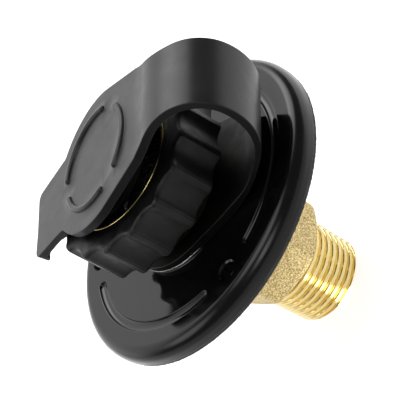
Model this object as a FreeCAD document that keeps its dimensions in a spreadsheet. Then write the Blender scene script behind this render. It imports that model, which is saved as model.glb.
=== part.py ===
import FreeCAD, Part
import math
import os
import Sketcher

# Pressure water inlet with a flexible one-piece cap. Millimetres; Z is the fitting's axis, pointing outboard;
# z = 0 is the mounting plane behind the gasket; the cap's strap runs towards +X.

SIZES = {
    "flange_radius": 37.8, "flange_back_z": 0.8, "flange_face_z": 5.84, "flange_rim_round": 3.6,
    "flange_bore_radius": 11.9, "hub_radius": 17.0, "hub_end_z": -7.0, "hex_socket_flats": 25.3,
    "clip_recess_radius": 14.5, "clip_recess_z": 4.34,
    "trim_groove_inner": 29.0, "trim_groove_outer": 31.46, "trim_groove_depth": 0.7,
    "screw_circle_radius": 30.6, "screw_hole_diameter": 4.6, "screw_sink_diameter": 5.4,
    "gasket_radius": 37.6, "gasket_inner_radius": 18.0, "gasket_hole_diameter": 4.6,
    "neck_radius": 11.5, "nose_z": 13.4, "hex_flats": 25.0, "hex_round": 2.8, "hex_front_z": -3.0,
    "hex_back_z": -23.5, "hex_bevel_radius": 12.1, "hex_bevel_round": 2.1,
    "npt_pitch": 1.814, "npt_start_z": -24.6, "npt_crest_radius": 10.79, "npt_depth": 1.3, "npt_end_z": -38.5,
    "npt_end_radius": 9.5, "bore_radius": 7.8, "seat_z": -5.0, "throat_radius": 5.6, "passage_radius": 7.0,
    "passage_z": -2.0, "oring_groove_radius": 10.02, "circlip_groove_radius": 10.95,
    "wire_groove_radius": 11.0, "guide_groove_radius": 8.3, "guide_groove_top_z": -19.65,
    "guide_groove_end_z": -20.85,
    "insert_radius": 15.65, "insert_face_z": 25.9, "insert_face_radius": 15.0, "thread_major_radius": 13.6,
    "thread_minor_radius": 12.35, "skirt_radius": 14.5, "skirt_end_z": 9.3, "lip_radius": 11.8,
    "lip_z": 10.4, "relief_radius": 13.0, "relief_z": 15.7,
    "collar_radius": 22.2, "collar_back_z": 14.0, "collar_face_z": 25.8, "scallop_radius": 5.15,
    "scallop_centre": 25.75,
    "rubber_thickness": 2.1, "ring_bottom_z": 5.95, "ring_radius": 17.0, "ring_hole_radius": 11.9,
    "strap_half_width": 9.4, "strap_straight_x": 31.0, "bend_start_x": 14.0, "bend_radius_1": 31.0,
    "bend_radius_2": 16.45, "bend_radius_3": 10.7, "bend_radius_4": 17.4, "bend_radius_5": 34.6,
    "flare_radius": 29.8, "lid_radius": 17.8, "lid_thickness": 2.2, "lid_centre_x": -1.2,
    "lid_centre_z": 31.55, "lid_tilt": 10.4, "plug_radius": 11.5, "plug_rib_radius": 11.75,
    "plug_depth": 7.2, "plug_wall": 2.0, "lid_rib_radius": 12.7, "lid_rib_width": 1.7, "lid_rib_height": 0.6,
    "tab_root_half_width": 10.4, "tab_tip_half_width": 8.35, "tab_length": 27.0,
}

SCREW_ANGLE = -63.3
TRIM_GROOVE_ANGLE = -123.3
TRIM_GROOVE_SPAN = 93.3
HEX_CORNER_ANGLE = -91.0
LOBE_COUNT = 16
LOBE_ANGLE = -10.2
# Raised broken circle on the lid: middle and span of each rib, in degrees.
LID_RIBS = [(0.0, 92.0), (123.0, 101.0), (-117.0, 92.0)]
# Strap arcs in the plane y = 0: radius, heading at the start and at the end (degrees from +X towards +Z).
STRAP_ARCS = [("bend_radius_1", 0.0, 37.0), ("bend_radius_2", 37.0, 99.0), ("bend_radius_3", 99.0, 165.2),
              ("bend_radius_4", 165.2, 200.2), ("bend_radius_5", 200.2, 190.4)]
ROOT_HEADING = 34.5
FOLD_PIVOT = (36.0, 35.67)
FOLD_HEADING = 141.7
FOLD_WEDGE = 26.0

document = FreeCAD.newDocument("hose_inlet")
sheet = document.addObject("Spreadsheet::Sheet", "Sizes")
for row, (alias, number) in enumerate(SIZES.items(), start=1):
    sheet.set(f"A{row}", alias)
    sheet.set(f"B{row}", str(number))
    sheet.setAlias(f"B{row}", alias)
document.recompute()


def combine(constant=0.0, **factors):
    """A constant plus multiples of sheet sizes, as its number and as the expression for it."""
    total = constant + sum(SIZES[name] * factor for name, factor in factors.items())
    terms = [f"{constant:.6f}"] + [f"{factor:.9f} * Sizes.{name}" for name, factor in factors.items()]
    return total, " + ".join(terms)


def resolve(size):
    """Number and expression of a size given as an alias, a combination or a plain number."""
    if isinstance(size, str):
        return SIZES[size], f"Sizes.{size}"
    if isinstance(size, tuple):
        return size
    return float(size), None


def at_angle(radius, degrees):
    """Sketch point at an angle on a circle about the origin."""
    turn = math.radians(degrees)
    return combine(**{radius: math.cos(turn)}), combine(**{radius: math.sin(turn)})


def new_body(label):
    body = document.addObject("PartDesign::Body", label)
    body.Label = label
    return body


def new_sketch(body, name, role, height=None):
    """Sketch on one of the body's own origin planes, lifted by a height."""
    sketch = body.newObject("Sketcher::SketchObject", name)
    plane = [feature for feature in body.Origin.OriginFeatures if feature.Role == role][0]
    sketch.AttachmentSupport = [(plane, "")]
    sketch.MapMode = "FlatFace"
    if height is not None:
        number, expression = resolve(height)
        sketch.AttachmentOffset = FreeCAD.Placement(FreeCAD.Vector(0, 0, number), FreeCAD.Rotation())
        if expression:
            sketch.setExpression("AttachmentOffset.Base.z", expression)
    return sketch


def constrain(sketch, size, kind, *where):
    """Dimension with its value tied to the sheet where the size comes from it."""
    number, expression = resolve(size)
    index = sketch.addConstraint(Sketcher.Constraint(kind, *where, number))
    if expression:
        sketch.setExpression(f"Constraints[{index}]", expression)


def arc_between(start, end, radius):
    """Shorter arc from start to end; a positive radius has its centre on the left."""
    chord = end - start
    half = chord.Length / 2
    side = FreeCAD.Vector(-chord.y, chord.x, 0).normalize()
    rise = math.sqrt(max(radius * radius - half * half, 0.0))
    centre = (start + end) * 0.5 + side * (rise if radius > 0 else -rise)
    first, last = (start, end) if radius > 0 else (end, start)
    angles = [math.atan2(point.y - centre.y, point.x - centre.x) for point in (first, last)]
    circle = Part.Circle(centre, FreeCAD.Vector(0, 0, 1), abs(radius))
    return Part.ArcOfCircle(circle, angles[0], angles[1])


def add_outline(sketch, corners):
    """Closed outline; a corner's third entry is the signed radius of the arc that leaves it."""
    points = [FreeCAD.Vector(resolve(corner[0])[0], resolve(corner[1])[0], 0) for corner in corners]
    sides = []
    for index, corner in enumerate(corners):
        start, end = points[index], points[(index + 1) % len(points)]
        if len(corner) == 2:
            sides.append((sketch.addGeometry(Part.LineSegment(start, end), False), 1, 2))
            continue
        radius = resolve(corner[2])[0]
        arc = sketch.addGeometry(arc_between(start, end, radius), False)
        sides.append((arc, 1, 2) if radius > 0 else (arc, 2, 1))
    for index, (side, start, end) in enumerate(sides):
        following = sides[(index + 1) % len(sides)]
        sketch.addConstraint(Sketcher.Constraint("Coincident", side, end, following[0], following[1]))
    for (side, start, end), corner in zip(sides, corners):
        constrain(sketch, corner[0], "DistanceX", -1, 1, side, start)
        constrain(sketch, corner[1], "DistanceY", -1, 1, side, start)
        if len(corner) == 3:
            number, expression = resolve(corner[2])
            bound = (abs(number), f"abs({expression})") if expression else abs(number)
            constrain(sketch, bound, "Radius", side)


def add_circle(sketch, radius, centre=(0.0, 0.0)):
    number = resolve(radius)[0]
    middle = FreeCAD.Vector(resolve(centre[0])[0], resolve(centre[1])[0], 0)
    circle = sketch.addGeometry(Part.Circle(middle, FreeCAD.Vector(0, 0, 1), number), False)
    constrain(sketch, radius, "Radius", circle)
    constrain(sketch, centre[0], "DistanceX", -1, 1, circle, 3)
    constrain(sketch, centre[1], "DistanceY", -1, 1, circle, 3)


def revolve(body, name, corners, kind="Revolution", angle=360.0):
    """Turn a profile in the plane of X and Z about the Z axis, adding or cutting material."""
    sketch = new_sketch(body, f"{name}_profile", "XZ_Plane")
    add_outline(sketch, corners)
    feature = body.newObject(f"PartDesign::{kind}", name)
    feature.Profile = sketch
    feature.ReferenceAxis = (sketch, ["V_Axis"])
    feature.Angle = angle
    document.recompute()
    return feature


def extrude(body, name, sketch, kind, length=None):
    """Pad or pocket a sketch: by a length, or through everything on both sides."""
    feature = body.newObject(f"PartDesign::{kind}", name)
    feature.Profile = sketch
    if length is None:
        feature.SideType = "Symmetric"
        feature.Type = "ThroughAll"
    else:
        number, expression = resolve(length)
        feature.Length = number
        if expression:
            feature.setExpression("Length", expression)
    document.recompute()
    return feature


def repeat(body, name, feature, sketch, count):
    """Repeat a feature evenly round the Z axis."""
    pattern = body.newObject("PartDesign::PolarPattern", name)
    pattern.Originals = [feature]
    pattern.Axis = (sketch, ["N_Axis"])
    pattern.Angle = 360.0
    pattern.Occurrences = count
    body.Tip = pattern
    document.recompute()
    return pattern


def round_edges(body, name, base, radius, chosen, kind="Fillet"):
    """Round or bevel those edges of a feature that the test picks."""
    edges = [f"Edge{index}" for index, edge in enumerate(base.Shape.Edges, start=1) if chosen(edge)]
    feature = body.newObject(f"PartDesign::{kind}", name)
    feature.Base = (base, edges)
    property_name = "Radius" if kind == "Fillet" else "Size"
    number, expression = resolve(radius)
    setattr(feature, property_name, number)
    if expression:
        feature.setExpression(property_name, expression)
    document.recompute()
    return feature


def is_circle_at(edge, radius, height):
    """True for a full circle about the Z axis with this radius and height."""
    curve = edge.Curve
    if not isinstance(curve, Part.Circle):
        return False
    return abs(curve.Radius - radius) < 0.01 and abs(curve.Center.z - height) < 0.01


def is_upright(edge):
    """True for a straight edge parallel to the Z axis."""
    box = edge.BoundBox
    return isinstance(edge.Curve, Part.Line) and max(box.XLength, box.YLength) < 0.01


def arc_slot(sketch, inner, outer, middle_angle, span):
    """Curved slot with round ends between two radii about the origin."""
    small, large = resolve(inner)[0], resolve(outer)[0]
    cap = (large - small) / 2
    reach = span / 2 - math.degrees(cap / (small + cap))
    begin, finish = middle_angle - reach, middle_angle + reach
    spread = [begin + (finish - begin) * part for part in (0.0, 0.5, 1.0)]
    corners = [polar(large, spread[0]) + (large,), polar(large, spread[1]) + (large,),
               polar(large, spread[2]) + (cap * 1.0001,), polar(small, spread[2]) + (-small,),
               polar(small, spread[1]) + (-small,), polar(small, spread[0]) + (cap * 1.0001,)]
    add_outline(sketch, corners)


def polar(radius, degrees):
    turn = math.radians(degrees)
    return radius * math.cos(turn), radius * math.sin(turn)


def screw_holes(body, diameter):
    """Three plain holes on the screw circle."""
    sketch = new_sketch(body, "screw_hole_outline", "XY_Plane")
    add_circle(sketch, combine(**{diameter: 0.5}), at_angle("screw_circle_radius", SCREW_ANGLE))
    hole = extrude(body, "screw_hole", sketch, "Pocket")
    repeat(body, "screw_hole_pattern", hole, sketch, 3)


def make_flange():
    body = new_body("flange")
    turned = revolve(body, "flange_disc", [
        ("flange_bore_radius", "hub_end_z"), ("hub_radius", "hub_end_z"), ("hub_radius", "flange_back_z"),
        ("flange_radius", "flange_back_z"), ("flange_radius", "flange_face_z"),
        ("clip_recess_radius", "flange_face_z"), ("clip_recess_radius", "clip_recess_z"),
        ("flange_bore_radius", "clip_recess_z")])
    rim = (SIZES["flange_radius"], SIZES["flange_face_z"])
    round_edges(body, "rim_round", turned, "flange_rim_round", lambda edge: is_circle_at(edge, *rim))
    socket = new_sketch(body, "hex_socket_outline", "XY_Plane", "hex_front_z")
    add_outline(socket, hexagon("hex_socket_flats"))
    extrude(body, "hex_socket", socket, "Pocket", combine(hex_front_z=1.0, hub_end_z=-1.0))
    groove_sketch = new_sketch(body, "trim_groove_outline", "XY_Plane", "flange_face_z")
    arc_slot(groove_sketch, "trim_groove_inner", "trim_groove_outer", TRIM_GROOVE_ANGLE, TRIM_GROOVE_SPAN)
    groove = extrude(body, "trim_groove", groove_sketch, "Pocket", "trim_groove_depth")
    repeat(body, "trim_groove_pattern", groove, groove_sketch, 3)
    centre_sketch = new_sketch(body, "screw_centre", "XY_Plane", "flange_face_z")
    add_circle(centre_sketch, combine(screw_hole_diameter=0.5), at_angle("screw_circle_radius", SCREW_ANGLE))
    hole = body.newObject("PartDesign::Hole", "screw_hole")
    hole.Profile = centre_sketch
    document.recompute()
    hole.DepthType = "ThroughAll"
    hole.setExpression("Diameter", "Sizes.screw_hole_diameter")
    hole.HoleCutType = "Countersink"
    hole.HoleCutDiameter = SIZES["screw_sink_diameter"]
    hole.setExpression("HoleCutDiameter", "Sizes.screw_sink_diameter")
    hole.HoleCutCountersinkAngle = 90.0
    document.recompute()
    repeat(body, "screw_hole_pattern", hole, centre_sketch, 3)
    return body


def hexagon(flats):
    """Corners of the hexagon, turned to the angle at which the fitting is assembled."""
    reach = 0.5 / math.cos(math.radians(30.0))
    turns = [math.radians(HEX_CORNER_ANGLE + 60.0 * index) for index in range(6)]
    return [(combine(**{flats: reach * math.cos(turn)}), combine(**{flats: reach * math.sin(turn)}))
            for turn in turns]


def make_gasket():
    body = new_body("flange_gasket")
    revolve(body, "gasket_ring", ring("gasket_inner_radius", "gasket_radius", 0.0, "flange_back_z"))
    screw_holes(body, "gasket_hole_diameter")
    return body


def ring(inner, outer, bottom, top):
    """Rectangular section of a plain ring."""
    return [(inner, bottom), (outer, bottom), (outer, top), (inner, top)]


def pipe_thread_profile():
    """Outer profile of the tapered thread as rings, from the hexagon down to the chamfered end."""
    corners = [(combine(npt_crest_radius=1.0, npt_depth=-1.0), "npt_start_z")]
    for turn in range(7):
        for fall, depth in ((0.36, 0.0), (0.5, 0.0), (0.86, 1.0), (1.0, 1.0)):
            pitches = turn + fall
            corners.append((combine(npt_crest_radius=1.0, npt_pitch=-pitches / 32.0, npt_depth=-depth),
                            combine(npt_start_z=1.0, npt_pitch=-pitches)))
    return corners + [("npt_end_radius", "npt_end_z")]


def make_valve_body():
    body = new_body("valve_body")
    outside = [("passage_radius", "nose_z"), (combine(-0.5, neck_radius=1.0), "nose_z"),
               ("neck_radius", combine(-0.5, nose_z=1.0)), ("neck_radius", 12.25),
               ("wire_groove_radius", 12.25), ("wire_groove_radius", 10.45), ("neck_radius", 10.45),
               ("neck_radius", 5.5), ("circlip_groove_radius", 5.5), ("circlip_groove_radius", 4.35),
               ("neck_radius", 4.35), ("neck_radius", 2.15), ("oring_groove_radius", 2.15),
               ("oring_groove_radius", 0.05), ("neck_radius", 0.05), ("neck_radius", "hex_back_z"),
               (combine(npt_crest_radius=1.0, npt_depth=-1.0), "hex_back_z")]
    inside = [("bore_radius", "npt_end_z"), ("bore_radius", "guide_groove_end_z"),
              ("guide_groove_radius", "guide_groove_end_z"), ("guide_groove_radius", "guide_groove_top_z"),
              ("bore_radius", "guide_groove_top_z"), ("bore_radius", "seat_z"), ("throat_radius", "seat_z"),
              ("throat_radius", "passage_z"), ("passage_radius", "passage_z")]
    revolve(body, "turned_body", outside + pipe_thread_profile() + inside)
    sketch = new_sketch(body, "hexagon_outline", "XY_Plane", "hex_back_z")
    add_outline(sketch, hexagon("hex_flats"))
    add_circle(sketch, 9.0)
    padded = extrude(body, "hexagon", sketch, "Pad", combine(hex_front_z=1.0, hex_back_z=-1.0))
    round_edges(body, "hexagon_round", padded, "hex_round", is_upright)
    bevel_top = combine(hex_back_z=1.0, hex_bevel_round=1.0)
    revolve(body, "back_bevel", [
        ("hex_bevel_radius", combine(-0.1, hex_back_z=1.0), 2.6),
        (combine(0.2, hex_bevel_radius=1.0, hex_bevel_round=1.0), bevel_top), (18.0, bevel_top),
        (18.0, combine(-0.1, hex_back_z=1.0))], kind="Groove")
    return body


def make_hose_insert():
    body = new_body("hose_insert")
    revolve(body, "swivel_nut", [
        ("lip_radius", "skirt_end_z"), ("skirt_radius", "skirt_end_z"), ("skirt_radius", "collar_back_z"),
        ("insert_radius", "collar_back_z"), ("insert_radius", "insert_face_z"),
        ("insert_face_radius", "insert_face_z"), ("thread_major_radius", combine(-1.0, insert_face_z=1.0)),
        ("thread_minor_radius", combine(-1.8, insert_face_z=1.0)), ("thread_minor_radius", "relief_z"),
        ("relief_radius", "relief_z"), ("relief_radius", "lip_z"), ("lip_radius", "lip_z")])
    return body


def make_collar():
    body = new_body("collar")
    revolve(body, "sleeve", [
        ("insert_radius", "collar_back_z"), (combine(-0.6, collar_radius=1.0), "collar_back_z"),
        ("collar_radius", combine(0.6, collar_back_z=1.0)),
        ("collar_radius", combine(-0.9, collar_face_z=1.0)),
        (combine(-0.9, collar_radius=1.0), "collar_face_z"), ("insert_radius", "collar_face_z")])
    sketch = new_sketch(body, "scallop_outline", "XY_Plane")
    add_circle(sketch, "scallop_radius", at_angle("scallop_centre", LOBE_ANGLE + 180.0 / LOBE_COUNT))
    scallop = extrude(body, "scallop", sketch, "Pocket")
    pattern = repeat(body, "scallop_pattern", scallop, sketch, LOBE_COUNT)
    round_edges(body, "land_round", pattern, 0.5, is_upright)
    return body


def open_ring(label, inner, outer, bottom, top, angle):
    """Flat snap ring with a gap."""
    body = new_body(label)
    revolve(body, f"{label}_band", ring(inner, outer, bottom, top), angle=angle)
    return body


def round_wire(label, centre_radius, height, wire_radius, angle=360.0):
    """Ring of round section about the Z axis."""
    body = new_body(label)
    sketch = new_sketch(body, "wire_section", "XZ_Plane")
    add_circle(sketch, wire_radius, (centre_radius, height))
    feature = body.newObject("PartDesign::Revolution", f"{label}_ring")
    feature.Profile = sketch
    feature.ReferenceAxis = (sketch, ["V_Axis"])
    feature.Angle = angle
    document.recompute()
    return body


def make_washer(label, inner, outer, bottom, top):
    body = new_body(label)
    revolve(body, f"{label}_disc", ring(inner, outer, bottom, top))
    return body


def make_screen():
    """Flat strainer disc with three rings of holes."""
    body = new_body("inlet_screen")
    revolve(body, "disc", [(0.0, 15.9), (9.6, 15.9), (9.6, 16.35), (0.0, 16.35)])
    for count, radius in ((6, 2.4), (12, 4.8), (18, 7.2)):
        sketch = new_sketch(body, f"hole_outline_{count}", "XY_Plane")
        add_circle(sketch, 0.7, (radius, 0.0))
        hole = extrude(body, f"hole_{count}", sketch, "Pocket")
        repeat(body, f"hole_pattern_{count}", hole, sketch, count)
    return body


def make_screen_rim():
    body = new_body("screen_rim")
    revolve(body, "rim", [(8.7, 15.5), (12.1, 15.5), (12.1, 16.8), (8.7, 16.8), (8.7, 16.4), (9.65, 16.4),
                          (9.65, 15.85), (8.7, 15.85)])
    return body


def make_poppet():
    body = new_body("poppet")
    revolve(body, "plunger", [
        (0.0, -22.0), (1.1, -22.0), (1.5, -21.6), (1.5, -8.0), (6.5, -8.0), (6.9, -7.6), (6.9, -6.05),
        (2.1, -6.05), (2.1, -5.05), (3.2, -5.05), (2.6, -4.05), (0.0, -4.05)])
    return body


def make_spring():
    """Compression spring between the poppet and the guide: its coils as rings joined by a thin web."""
    body = new_body("poppet_spring")
    levels = [-16.6 + 2.05 * turn for turn in range(5)]
    outside = [(radius, level + side) for level in levels
               for radius, side in ((3.08, -0.4), (3.4, -0.4), (3.4, 0.4), (3.08, 0.4))]
    inside = [(radius, level + side) for level in levels[::-1]
              for radius, side in ((2.92, 0.4), (2.6, 0.4), (2.6, -0.4), (2.92, -0.4))]
    revolve(body, "coils", outside[1:-1] + inside[1:-1])
    return body


def make_guide():
    """Spider: outer ring, three arms and a hub that the poppet's stem slides in."""
    body = new_body("valve_guide")
    revolve(body, "outer_ring", ring(6.5, 7.7, -19.6, -17.0))
    sketch = new_sketch(body, "arm_outline", "XY_Plane", -19.2)
    add_outline(sketch, [(1.7, -0.8), (6.9, -0.8), (6.9, 0.8), (1.7, 0.8)])
    arm = extrude(body, "arm", sketch, "Pad", 2.2)
    repeat(body, "arm_pattern", arm, sketch, 3)
    revolve(body, "hub", ring(1.6, 3.9, -19.6, -17.0))
    return body


def strap_point(arc_number, heading, depth=0.0):
    """Point of the strap's outer surface where it points along a heading, or below it by a depth.

    The depth counts rubber thicknesses towards the inside of the bend."""
    x_terms = {"bend_start_x": 1.0}
    z_terms = {"ring_bottom_z": 1.0}
    for number, (radius, start, end) in enumerate(STRAP_ARCS[:arc_number], start=1):
        stop = heading if number == arc_number else end
        sense = 1.0 if end > start else -1.0
        x_terms[radius] = sense * (math.sin(math.radians(stop)) - math.sin(math.radians(start)))
        z_terms[radius] = sense * (math.cos(math.radians(start)) - math.cos(math.radians(stop)))
    x_terms["rubber_thickness"] = -depth * math.sin(math.radians(heading))
    z_terms["rubber_thickness"] = depth * math.cos(math.radians(heading))
    return combine(**x_terms), combine(**z_terms)


def strap_section(pieces):
    """Closed side profile along the outer arcs and back along the inner ones.

    Each piece is an arc number with its start and end heading."""
    outer, inner = [], []
    for number, start, end in pieces:
        radius = STRAP_ARCS[number - 1][0]
        sense = 1.0 if STRAP_ARCS[number - 1][2] > STRAP_ARCS[number - 1][1] else -1.0
        outer.append(strap_point(number, start) + (combine(**{radius: sense}),))
        inner.append(strap_point(number, end, 1.0) + (combine(**{radius: -sense, "rubber_thickness": 1.0}),))
    last_number, _, last_end = pieces[-1]
    first_number, first_start, _ = pieces[0]
    outer.append(strap_point(last_number, last_end))
    inner.insert(0, strap_point(first_number, first_start, 1.0))
    return outer + inner[::-1]


def pad_across(body, name, corners, width):
    """Pad a side profile evenly to both sides of the plane y = 0."""
    sketch = new_sketch(body, f"{name}_profile", "XZ_Plane")
    add_outline(sketch, corners)
    feature = body.newObject("PartDesign::Pad", name)
    feature.Profile = sketch
    feature.SideType = "Symmetric"
    feature.Length = width
    document.recompute()
    return feature


def trim_plan(body, name, outline):
    """Cut away everything outside a plan outline."""
    sketch = new_sketch(body, f"{name}_outline", "XY_Plane")
    add_outline(sketch, [(-60.0, -40.0), (60.0, -40.0), (60.0, 40.0), (-60.0, 40.0)])
    add_outline(sketch, outline)
    return extrude(body, name, sketch, "Pocket")


def make_cap_ring():
    """Ring round the neck with the root of the strap."""
    body = new_body("cap_ring")
    top = combine(ring_bottom_z=1.0, rubber_thickness=1.0)
    arcs = strap_section([(1, 0.0, ROOT_HEADING)])
    pad_across(body, "ring_and_root", [(-19.0, "ring_bottom_z")] + arcs + [(-19.0, top)], 40.0)
    angle = 75.2
    turn = math.radians(angle)
    tangent = (combine(ring_radius=math.cos(turn)), combine(ring_radius=math.sin(turn)), "ring_radius")
    side = [(40.0, "strap_half_width"), ("strap_straight_x", "strap_half_width"), tangent,
            (combine(ring_radius=-1.0), 0.0, "ring_radius")]
    lower = [(tangent[0], combine(ring_radius=-math.sin(turn))),
             ("strap_straight_x", combine(strap_half_width=-1.0)), (40.0, combine(strap_half_width=-1.0))]
    trim_plan(body, "plan", side + lower)
    sketch = new_sketch(body, "neck_hole_outline", "XY_Plane")
    add_circle(sketch, "ring_hole_radius")
    extrude(body, "neck_hole", sketch, "Pocket")
    return body


def make_strap_bend():
    """Strap from its root round the outside of the bend."""
    body = new_body("cap_strap_bend")
    corners = strap_section([(1, ROOT_HEADING + 0.55, 37.0), (2, 37.0, 99.0), (3, 99.0, FOLD_HEADING)])
    pad_across(body, "bend", corners, SIZES["strap_half_width"] * 2)
    return body


def wedge_heading(depth):
    """Heading of the third arc where the far side of the wedge-shaped fold meets it.

    Both sides of the fold pass through its pivot, so they meet when the strap folds down."""
    centre = arc_centre(3)
    radius = SIZES["bend_radius_3"] - depth * SIZES["rubber_thickness"]
    step_x, step_z = polar(1.0, FOLD_HEADING + 90.0 - FOLD_WEDGE)
    away_x, away_z = FOLD_PIVOT[0] - centre[0], FOLD_PIVOT[1] - centre[1]
    along = away_x * step_x + away_z * step_z
    reach = -along - math.sqrt(along ** 2 - away_x ** 2 - away_z ** 2 + radius ** 2)
    return math.degrees(math.atan2(away_z + reach * step_z, away_x + reach * step_x)) + 90.0


def arc_centre(number):
    """Centre of one of the strap's arcs."""
    start = STRAP_ARCS[number - 1][1]
    x, z = strap_point(number, start)
    radius = SIZES[STRAP_ARCS[number - 1][0]]
    turn = math.radians(start)
    return x[0] - radius * math.sin(turn), z[0] + radius * math.cos(turn)


def make_strap_top():
    """Strap from the bend to the lid, widening towards the lid."""
    body = new_body("cap_strap_top")
    corners = strap_section([(3, wedge_heading(0.0), 165.2), (4, 165.2, 200.2), (5, 200.2, 194.1)])
    corners[-1] = strap_point(3, wedge_heading(1.0), 1.0)
    pad_across(body, "top_run", corners, 30.0)
    half = [(45.0, "strap_half_width"), ("strap_straight_x", "strap_half_width", combine(flare_radius=-1.0)),
            (16.2, flare_half_width(16.2)), (10.0, flare_half_width(16.2))]
    lower = [(10.0, -flare_half_width(16.2)), (16.2, -flare_half_width(16.2), combine(flare_radius=-1.0)),
             ("strap_straight_x", combine(strap_half_width=-1.0)), (45.0, combine(strap_half_width=-1.0))]
    trim_plan(body, "plan", half + lower)
    return body


def flare_half_width(x):
    """Half width of the strap where it flares in an arc towards the lid."""
    away = SIZES["strap_straight_x"] - x
    radius = SIZES["flare_radius"]
    return SIZES["strap_half_width"] + radius - math.sqrt(radius ** 2 - away ** 2)


def make_lid():
    """Lid disc with pull tab, plug skirt and broken circle of ribs, tilted to where it rests."""
    body = new_body("cap_lid")
    sketch = new_sketch(body, "lid_outline", "XY_Plane", combine(lid_thickness=-1.0))
    neck = (18.35, flare_half_width(16.9))
    join = at_angle("lid_radius", 73.2)
    tab_root = at_angle("lid_radius", 144.3)
    tip = combine(tab_length=-1.0)
    near_tip = combine(2.0, tab_length=-1.0)
    upper = [neck, join + ("lid_radius",), tab_root, (near_tip, "tab_tip_half_width", 2.0),
             (tip, combine(-2.0, tab_tip_half_width=1.0))]
    lower = [(tip, combine(2.0, tab_tip_half_width=-1.0), 2.0), (near_tip, combine(tab_tip_half_width=-1.0)),
             at_angle("lid_radius", -144.3) + ("lid_radius",), at_angle("lid_radius", -73.2),
             (18.35, -flare_half_width(16.9))]
    add_outline(sketch, upper + lower)
    extrude(body, "plate", sketch, "Pad", "lid_thickness")
    relief = new_sketch(body, "tab_relief_outline", "XY_Plane", combine(0.4, lid_thickness=-1.0))
    edge = combine(-0.4, lid_radius=-1.0)
    add_outline(relief, [(-30.0, -14.0), (edge, -14.0), (edge, 14.0), (-30.0, 14.0)])
    extrude(body, "tab_relief", relief, "Pocket", 1.0)
    bead = new_sketch(body, "tab_bead_outline", "XY_Plane", combine(-0.8, lid_thickness=-1.0))
    add_outline(bead, [(-26.6, -6.2), (-25.0, -6.2), (-25.0, 6.2), (-26.6, 6.2)])
    extrude(body, "tab_bead", bead, "Pad", 1.3)
    bottom = combine(plug_depth=-1.0)
    inner = combine(plug_radius=1.0, plug_wall=-1.0)
    revolve(body, "plug_skirt", [
        (inner, combine(0.1, lid_thickness=-1.0)), (inner, bottom), (combine(-0.4, plug_radius=1.0), bottom),
        ("plug_rib_radius", combine(0.5, plug_depth=-1.0)),
        ("plug_rib_radius", combine(1.1, plug_depth=-1.0)),
        ("plug_radius", combine(1.6, plug_depth=-1.0)), ("plug_radius", combine(0.1, lid_thickness=-1.0))])
    ribs = new_sketch(body, "lid_rib_outline", "XY_Plane", 0.0)
    for middle, span in LID_RIBS:
        arc_slot(ribs, combine(lid_rib_radius=1.0, lid_rib_width=-0.5),
                 combine(lid_rib_radius=1.0, lid_rib_width=0.5), middle, span)
    extrude(body, "lid_ribs", ribs, "Pad", "lid_rib_height")
    tilt = FreeCAD.Rotation(FreeCAD.Vector(0, 1, 0), -SIZES["lid_tilt"])
    body.Placement = FreeCAD.Placement(FreeCAD.Vector(SIZES["lid_centre_x"], 0, SIZES["lid_centre_z"]), tilt)
    body.setExpression("Placement.Base.x", "Sizes.lid_centre_x")
    body.setExpression("Placement.Base.z", "Sizes.lid_centre_z")
    return body


parts = [
    make_flange(), make_gasket(), make_valve_body(), make_collar(), make_hose_insert(),
    open_ring("body_circlip", 11.0, 13.8, 4.4, 5.4, 320.0),
    round_wire("body_oring", 10.95, 1.1, 0.9), round_wire("swivel_ring", 12.0, 11.35, 0.75, 345.0),
    make_washer("hose_washer", 8.0, 12.9, 13.5, 15.5), make_screen_rim(), make_screen(),
    make_poppet(), make_washer("poppet_seal", 2.1, 6.9, -6.05, -5.05), make_spring(), make_guide(),
    open_ring("guide_clip", 6.9, 8.2, -20.8, -19.7, 310.0),
    make_cap_ring(), make_strap_bend(), make_strap_top(), make_lid(),
]
document.recompute()

os.makedirs("parts", exist_ok=True)
for item in document.Objects:
    if "Invalid" in item.State or "Error" in item.State:
        raise RuntimeError(f"{item.Label} is in state {item.State}")
for part in parts:
    if part.Shape.isNull() or not part.Shape.isValid() or len(part.Shape.Solids) != 1:
        raise RuntimeError(f"{part.Label} is not one valid solid")
    part.Shape.exportStep(f"parts/{part.Label}.step")
    box = part.Shape.BoundBox
    print(f"{part.Label}: volume {part.Shape.Volume:.1f}, x {box.XMin:.2f} {box.XMax:.2f}, "
          f"y {box.YMin:.2f} {box.YMax:.2f}, z {box.ZMin:.2f} {box.ZMax:.2f}")
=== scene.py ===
from math import atan2, cos, hypot, pi, radians, sin, sqrt, tan

import bpy
import numpy as np
from mathutils import Matrix, Vector, geometry


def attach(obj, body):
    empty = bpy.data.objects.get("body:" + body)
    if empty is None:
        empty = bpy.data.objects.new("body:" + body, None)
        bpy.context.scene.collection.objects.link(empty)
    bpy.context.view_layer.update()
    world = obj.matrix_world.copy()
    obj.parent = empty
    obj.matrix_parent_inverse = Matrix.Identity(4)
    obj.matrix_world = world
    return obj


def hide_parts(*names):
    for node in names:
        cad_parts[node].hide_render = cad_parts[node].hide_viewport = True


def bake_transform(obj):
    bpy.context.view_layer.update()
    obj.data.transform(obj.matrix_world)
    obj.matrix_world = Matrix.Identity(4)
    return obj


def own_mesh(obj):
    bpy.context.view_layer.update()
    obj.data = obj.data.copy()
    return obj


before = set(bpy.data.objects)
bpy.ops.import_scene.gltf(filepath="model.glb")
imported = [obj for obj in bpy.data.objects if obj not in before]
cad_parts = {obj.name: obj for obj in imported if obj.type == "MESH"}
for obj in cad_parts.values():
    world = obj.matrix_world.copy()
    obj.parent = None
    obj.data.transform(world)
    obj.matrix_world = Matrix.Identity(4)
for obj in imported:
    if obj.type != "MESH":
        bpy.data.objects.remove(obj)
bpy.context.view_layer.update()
MM = 0.001

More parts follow.
